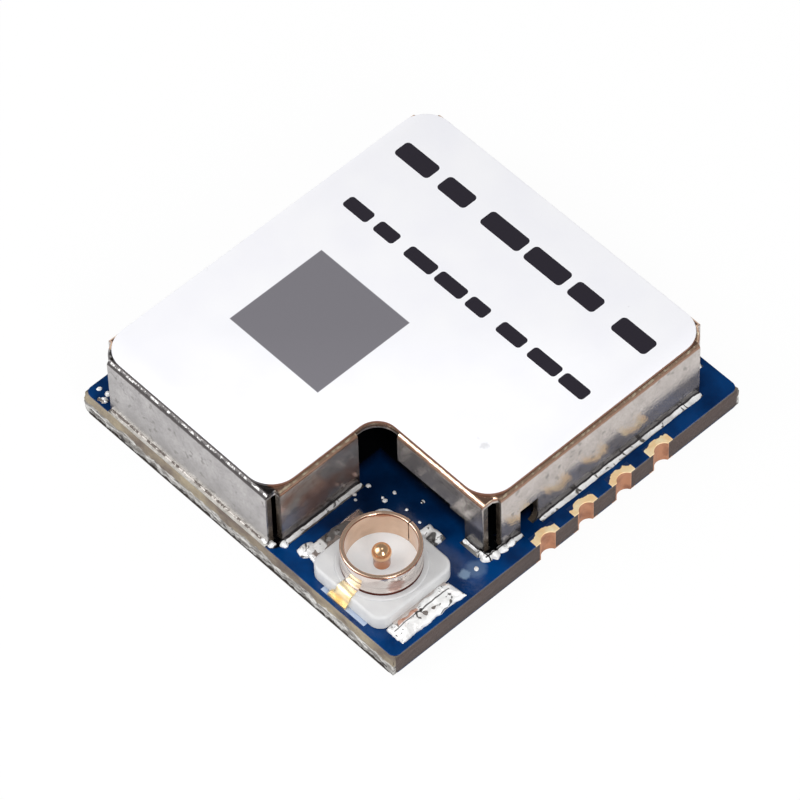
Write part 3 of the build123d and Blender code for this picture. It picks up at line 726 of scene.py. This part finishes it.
def ring_piece():
    """The ring with its lips, groove and seam, its side tabs and the strap at its front."""
    bm = bmesh.new()
    low, top = board_top + tab_thickness, ring_high.z
    outer, inner = ring_radius, ring_radius - ring_wall
    level = board_top + groove_rise
    sag = groove_depth
    bow = ((groove_width / 2) ** 2 + sag ** 2) / (2 * sag)
    half = math.degrees(math.asin(groove_width / 2 / bow))
    groove = arc_points((outer - sag + bow, level), bow, 180 + half, 180 - half, 8)
    profile = [(inner, low), (outer + ring_flare, low), *groove]
    profile += arc_points((outer - ring_lip, top - ring_lip), ring_lip, 0, 90, 4)
    profile += arc_points((inner + ring_lip, top - ring_lip), ring_lip, 90, 180, 4)
    seam_angle = seam_width / ring_radius
    lathe(bm, profile, math.radians(90) + seam_angle / 2, math.tau - seam_angle, 140)
    reach = ring_high.x - coax.x
    for side in (-1, 1):
        ends = sorted((coax.x + side * (inner - 0.1), coax.x + side * reach))
        block(bm, (ends[0], coax.y - tab_width / 2, board_top), (ends[1], coax.y + tab_width / 2, low), 0.02)
    strap(bm)
    outward_normals(bm)
    return finish_piece(bm, "receptacle_ring", "contact_gold", "connector_ring")


def pin_piece():
    """The ball-ended centre pin and its flat tail."""
    bm = bmesh.new()
    level = board_top + ball_rise
    neck = math.degrees(math.acos(pin_radius / ball_radius))
    profile = [(0, board_top), (pin_radius, board_top), (pin_radius, board_top + 0.3)]
    profile += arc_points((0, level), ball_radius, -neck, 90, 14)
    turn = [bm.verts.new((coax.x + radius, coax.y, height)) for radius, height in profile]
    edges = [bm.edges.new(pair) for pair in zip(turn, turn[1:])]
    bmesh.ops.spin(bm, geom=turn + edges, cent=coax, axis=axes["z"], angle=math.tau, steps=48, use_merge=True,
                   use_duplicate=False)
    block(bm, (coax.x - tail_width / 2, coax.y + pin_radius, board_top),
          (coax.x + tail_width / 2, body_high.y + tail_reach, board_top + tail_thickness), 0.01)
    outward_normals(bm)
    return finish_piece(bm, "receptacle_pin", "contact_gold", "connector_pin")


def body_piece():
    """The white moulding: rounded corners, softened top edges and the low boss round the ring."""
    bm = bmesh.new()
    low, top = board_top + 0.02, board_top + moulding_height
    block(bm, (coax.x - moulding_half, coax.y - moulding_half, low),
          (coax.x + moulding_half, coax.y + moulding_half, top))
    uprights = [e for e in bm.edges if abs(e.verts[0].co.z - e.verts[1].co.z) > 0.1]
    round_edges(bm, uprights, moulding_round, 8)
    upper = [e for e in bm.edges if all(v.co.z > top - 0.001 for v in e.verts)]
    round_edges(bm, upper, moulding_edge, 5)
    rise = top + boss_height
    hole = ring_radius - 0.03
    profile = [(hole, top - 0.05), (boss_radius, top - 0.05), (boss_radius, rise - boss_round)]
    profile += arc_points((boss_radius - boss_round, rise - boss_round), boss_round, 30, 90, 3)
    profile += [(hole, rise)]
    lathe(bm, profile, 0, math.tau, 96)
    outward_normals(bm)
    return finish_piece(bm, "receptacle_moulding", "moulding", "connector_body")


# Solder
def fillet_strip(bm, start, along, outward, length, width, height, seed):
    """A run of solder along a wall's foot: a swept hollow fillet whose width, height and skin wander."""
    start, along, outward, up = Vector(start), Vector(along), Vector(outward), Vector(axes["z"])
    count = max(6, round(length / 0.035))
    section = [(0, 0), (1, 0)]
    section += [(1 - math.sin(math.radians(a)) ** 0.8, 1 - math.cos(math.radians(a)) ** 0.8)
                for a in (12, 24, 36, 48, 60, 72, 84)]
    section += [(0, 1)]
    verts = [bm.verts.new(start + outward * (u * width) + up * (h * height)) for u, h in section]
    edges = [bm.edges.new((verts[i - 1], verts[i])) for i in range(len(verts))]
    made = bmesh.ops.spin(bm, geom=verts + edges, cent=start, axis=up, angle=0, dvec=along * (length / count),
                          steps=count, use_duplicate=False)
    close_end(bm, edges)
    close_end(bm, made["geom_last"])
    drift = Vector((seed * 7.3, seed * 3.1, seed * 5.7))
    # A tag marks the points that an earlier run has moved
    for vert in [v for v in bm.verts if not v.tag]:
        vert.tag = True
        local = vert.co - start
        t, u, h = local.dot(along), local.dot(outward), local.z
        wave = noise.noise(drift + along * t * 2.1)
        ripple = noise.noise(drift * 2 + along * t * 7.0)
        ends = min(1, min(t, length - t) / 0.12 + 0.25)
        u *= (0.95 + 0.24 * wave + 0.1 * ripple) * (0.6 + 0.4 * ends)
        h *= (0.95 + 0.2 * ripple + 0.2 * wave) * ends
        skin = noise.noise(drift + vert.co * 6)
        lift = 0.008 * skin if h > 0.004 and u > 0.004 else 0
        vert.co = start + along * t + outward * (u + lift) + up * max(0, h + lift)


def bead(bm, x, y, radius, height, stretch=1.2, turn=0.0, seed=0):
    """A low blob of solder on the board, longer one way and turned by an angle in degrees."""
    shape = bmesh.ops.create_icosphere(bm, subdivisions=3, radius=1.0)["verts"]
    spin = Matrix.Rotation(math.radians(turn), 3, "Z")
    for vert in shape:
        swell = 1 + 0.22 * noise.noise(vert.co * 1.7 + Vector((seed, seed * 2, 3)))
        local = spin @ Vector((vert.co.x * radius * stretch, vert.co.y * radius, 0)) * swell
        vert.co = Vector((x + local.x, y + local.y, board_top + max(0.0, vert.co.z) * height * swell))


def pillow(bm, low, high, height, seed, lumps):
    """A low irregular pool of solder over a rectangular land."""
    low, high = Vector(low), Vector(high)
    size = high - low
    cells = [max(6, round(s / 0.04)) for s in size]
    made = bmesh.ops.create_grid(bm, x_segments=cells[0], y_segments=cells[1], size=0.5)["verts"]
    faces = list(dict.fromkeys(f for v in made for f in v.link_faces))
    grown = bmesh.ops.extrude_face_region(bm, geom=faces)["geom"]
    upper = {g for g in grown if isinstance(g, bmesh.types.BMVert)}
    for vert in list(upper) + [v for v in made if v.is_valid]:
        u, v = vert.co.x * 2, vert.co.y * 2
        place = Vector((low.x + (vert.co.x + 0.5) * size.x, low.y + (vert.co.y + 0.5) * size.y, seed))
        ragged = noise.noise(place * 3.4) * 0.07 + noise.noise(place * 9) * 0.035
        place.x += ragged * (u if abs(u) > 0.6 else 0) * 0.8
        place.y += ragged * (v if abs(v) > 0.6 else 0) * 0.8
        crown = max(0.0, 1 - abs(u) ** 5) ** 0.5 * max(0.0, 1 - abs(v) ** 5) ** 0.5
        coarse = noise.noise(Vector((place.x * 4, place.y * 4, seed)))
        fine = noise.noise(Vector((place.x * 9, place.y * 9, seed)))
        skin = 1 + lumps * coarse + lumps * 0.2 * fine
        rise = 0.0
        if vert in upper:
            rise = 0.012 + height * crown * skin if max(abs(u), abs(v)) < 0.999 else 0.004
        place.z = board_top + rise
        vert.co = place


def shield_solder():
    """Solder along each foot of the can, with beads where the folds meet."""
    gap_y = pad_1.y + trace_gap_shift
    gap_low, gap_high = gap_y - trace_gap_width / 2, gap_y + trace_gap_width / 2
    left, right, front, back = can_low.x, can_high.x, can_low.y, can_high.y
    outer_end, slit_front, slit_notch, slit_right, relief_end = 0.5, 0.18, 0.32, 0.45, 0.66
    leg_width, side_width = 0.62, 0.135
    leg_low = right - slit_front - leg_width
    rightward, leftward, backward, forward = (1, 0, 0), (-1, 0, 0), (0, 1, 0), (0, -1, 0)
    # Runs: start in x and y, way along, way outward, length, width, height
    runs = {
        "front": [(left + outer_end, front, rightward, forward,
                   notch_x - left - outer_end - slit_front, 0.035, 0.045)],
        "back": [(left + outer_end, back, rightward, backward, right - left - 2 * outer_end, 0.14, 0.12)],
        "left": [(left, front + outer_end, backward, leftward, back - front - 2 * outer_end, 0.05, 0.08)],
        "right": [(right, notch_y + slit_right, backward, rightward,
                   gap_low - notch_y - slit_right, side_width, 0.12),
                  (right, gap_high, backward, rightward, back - outer_end - gap_high, side_width, 0.12)],
        "notch_side": [(notch_x, front + slit_notch, backward, rightward,
                        notch_y - relief_end - front - slit_notch, 0.15, 0.12)],
        "notch_end": [(leg_low, notch_y, rightward, forward, leg_width, 0.1, 0.08)],
    }
    # Beads: x, y, radius, height
    beads = {
        "front": [(-5.03, -5.40, 0.075, 0.08), (-4.95, -5.60, 0.085, 0.09), (-5.06, -5.66, 0.05, 0.05),
                  (0.86, -5.60, 0.10, 0.10), (1.06, -5.60, 0.10, 0.10)],
        "right": [(right + 0.06, -1.97, 0.11, 0.12), (right + 0.05, -1.72, 0.12, 0.11),
                  (right + 0.07, -1.45, 0.10, 0.10)],
        "notch_side": [(notch_x + 0.09, -5.38, 0.10, 0.10)],
        "notch_end": [(4.74, notch_y - 0.05, 0.10, 0.10), (4.92, notch_y - 0.03, 0.13, 0.12),
                      (leg_low + 0.06, notch_y - 0.05, 0.06, 0.05)],
    }
    for number, (side, side_runs) in enumerate(runs.items()):
        bm = bmesh.new()
        for part, (x, y, *rest) in enumerate(side_runs):
            fillet_strip(bm, (x, y, board_top), *rest, number * 3.7 + part)
        for spot, blob in enumerate(beads.get(side, [])):
            bead(bm, *blob, turn=spot * 50, seed=number + spot)
        outward_normals(bm)
        finish_piece(bm, f"solder_{side}", "solder", f"shield_solder_{side}", smooth_angle=60)


def connector_solder():
    """Solder over the receptacle's two tabs and its tail."""
    half = tab_width / 2
    left_low = (ring_low.x - 0.05, coax.y - half - 0.1)
    # Pools: lower corner, higher corner, height, seed, lumps
    pools = {
        "right": ((body_high.x + 0.005, coax.y - half - 0.2), (ring_high.x + 0.1, coax.y + half + 0.12),
                  0.13, 2.0, 0.5),
        "left": (left_low, (body_low.x - 0.02, coax.y + half), 0.1, 5.0, 0.6),
        "signal": ((coax.x - 0.28, body_high.y + 0.02), (coax.x + 0.3, body_high.y + tail_reach + 0.1),
                   0.14, 8.0, 0.6),
    }
    for side, (low, high, height, seed, lumps) in pools.items():
        bm = bmesh.new()
        pillow(bm, (*low, 0), (*high, 0), height, seed, lumps)
        if side == "left":
            bead(bm, left_low[0] + 0.05, left_low[1] + 0.12, 0.2, 0.16, stretch=1.3, turn=70, seed=4)
        outward_normals(bm)
        finish_piece(bm, f"receptacle_solder_{side}", "solder", f"connector_solder_{side}", smooth_angle=60)


def via_dots():
    """Tented vias and stray specks on the mask, seen as small bright dots: bumps in the solder finish, whose
    white paints the highlights on the mask-covered vias.
    """
    bm = bmesh.new()
    vias = [(1.49, -3.25), (1.36, -3.16), (2.00, -2.76), (1.90, -2.74), (1.99, -2.43), (1.40, -2.74),
            (2.56, -2.57), (2.66, -2.13), large_via, (3.05, -2.60), (2.35, -3.02), (-5.30, -5.45)]
    for number, (x, y) in enumerate(vias):
        bead(bm, x, y, 0.035 + 0.012 * (number % 3), 0.03, turn=number * 40, seed=number)
    outward_normals(bm)
    return finish_piece(bm, "via_dots", "solder", smooth_angle=60)


# Everything on the object
board_piece()
can_piece()
label_piece()
ring_piece()
pin_piece()
body_piece()
shield_solder()
connector_solder()
via_dots()
for node, slot in slot_of.items():
    cad_nodes[node].data.materials.clear()
    cad_nodes[node].data.materials.append(finishes[slot])


# Floor: pale, white to the camera and to reflections, and it keeps the object's shadow
def floor_finish():
    material = bpy.data.materials.new("pale floor")
    material.use_nodes = True
    tree = material.node_tree
    tree.nodes.clear()
    plain = put(tree, "ShaderNodeBsdfDiffuse", Color=(0.9, 0.9, 0.9, 1))
    glow = put(tree, "ShaderNodeEmission", Color=(1, 1, 1, 1), Strength=1.0)
    rays = put(tree, "ShaderNodeLightPath").outputs
    seen = calc(tree, "MULTIPLY", rays["Is Camera Ray"], 0.95)
    mirrored = calc(tree, "MULTIPLY", rays["Is Glossy Ray"], 0.35)
    through = calc(tree, "MULTIPLY", rays["Is Transmission Ray"], 0.86)
    share = calc(tree, "ADD", calc(tree, "ADD", seen, mirrored), through, clamp=True)
    mixed = put(tree, "ShaderNodeMixShader", share, plain.outputs[0], glow.outputs[0])
    out = put(tree, "ShaderNodeOutputMaterial")
    tree.links.new(mixed.outputs[0], out.inputs[0])
    return material


floor_size = 2.0
floor_bm = bmesh.new()
bmesh.ops.create_grid(floor_bm, x_segments=1, y_segments=1, size=floor_size)
floor_mesh = bpy.data.meshes.new("floor")
floor_bm.to_mesh(floor_mesh)
floor_bm.free()
floor_mesh.materials.append(floor_finish())
floor = bpy.data.objects.new("floor", floor_mesh)
floor.location.z = -0.00001
bpy.context.scene.collection.objects.link(floor)


# World: white behind everything, softer for the light that falls on the object, and with
# a dark band for reflections, so that metal shows contrast
def build_world():
    world = bpy.data.worlds.new("studio")
    bpy.context.scene.world = world
    world.use_nodes = True
    tree = world.node_tree
    tree.nodes.clear()
    rays = put(tree, "ShaderNodeLightPath").outputs
    direction = put(tree, "ShaderNodeTexCoord").outputs["Generated"]
    height = put(tree, "ShaderNodeSeparateXYZ", direction).outputs["Z"]
    ramp = put(tree, "ShaderNodeValToRGB", height)
    stops = ramp.color_ramp.elements
    stops[0].position, stops[0].color = 0.0, (0.9, 0.9, 0.9, 1)
    stops[1].position, stops[1].color = 1.0, (0.10, 0.10, 0.10, 1)
    for position, level in ((0.22, 0.85), (0.34, 0.14), (0.8, 0.06)):
        stops.new(position).color = (level, level, level, 1)
    # A bright panel to the left, seen only in reflections
    panel_way = Vector((-0.436, -0.595, 0.674)).normalized()
    facing = calc_vector(tree, "DOT_PRODUCT", direction, panel_way)
    panel = put(tree, "ShaderNodeMapRange", facing, 0.80, 0.90, 0.0, 1.0).outputs[0]
    mirrored = blend(tree, panel, ramp.outputs[0], (1.1, 1.1, 1.1, 1))
    ambient = 0.68
    base = blend(tree, rays["Is Glossy Ray"], (ambient, ambient, ambient, 1), mirrored)
    clear = calc(tree, "ADD", rays["Is Camera Ray"], rays["Is Transmission Ray"], clamp=True)
    sky = put(tree, "ShaderNodeBackground", Color=blend(tree, clear, base, (1, 1, 1, 1)), Strength=1.0)
    out = put(tree, "ShaderNodeOutputWorld")
    tree.links.new(sky.outputs[0], out.inputs[0])


build_world()


def softbox(name, direction, distance, width, height, power):
    """An area lamp that faces the object from a direction, in metres and watts."""
    lamp = bpy.data.lights.new(name, "AREA")
    lamp.shape = "RECTANGLE"
    lamp.size, lamp.size_y = width, height
    lamp.energy = power
    obj = bpy.data.objects.new(name, lamp)
    way = Vector(direction).normalized()
    obj.location = way * distance
    obj.rotation_mode = "QUATERNION"
    obj.rotation_quaternion = way.to_track_quat("Z", "Y")
    bpy.context.scene.collection.objects.link(obj)


softbox("key", (-0.55, -0.75, 0.85), 0.09, 0.05, 0.05, 0.03)
softbox("fill", (0.85, -0.35, 0.55), 0.10, 0.03, 0.05, 0.042)
softbox("top", (0.1, 0.1, 1.0), 0.10, 0.03, 0.03, 0.006)

# Camera at the photograph's angle
photo_width = 800
focal_pixels = 6399.52
camera_azimuth = math.radians(48.2577)
camera_elevation = math.radians(53.0337)
camera_roll = math.radians(-1.9377)
camera_distance = 0.1562853
camera_sensor = 36.0
aim_right, aim_up = -0.288 * mm, 0.1561 * mm
back = Vector((math.sin(camera_azimuth) * math.cos(camera_elevation),
               -math.cos(camera_azimuth) * math.cos(camera_elevation), math.sin(camera_elevation)))
level_right = Vector((math.cos(camera_azimuth), math.sin(camera_azimuth), 0))
level_up = back.cross(level_right)
right = math.cos(camera_roll) * level_right + math.sin(camera_roll) * level_up
up = math.cos(camera_roll) * level_up - math.sin(camera_roll) * level_right
camera_data = bpy.data.cameras.new("camera")
camera_data.sensor_width = camera_sensor
camera_data.lens = focal_pixels / photo_width * camera_sensor
camera_data.clip_start = 0.005
camera_data.clip_end = 10
camera = bpy.data.objects.new("camera", camera_data)
turned = Matrix((right, up, back)).transposed().to_4x4()
camera.matrix_world = Matrix.Translation(right * aim_right + up * aim_up + back * camera_distance) @ turned
bpy.context.scene.collection.objects.link(camera)
bpy.context.scene.camera = camera
bpy.context.scene.view_settings.view_transform = "Standard"
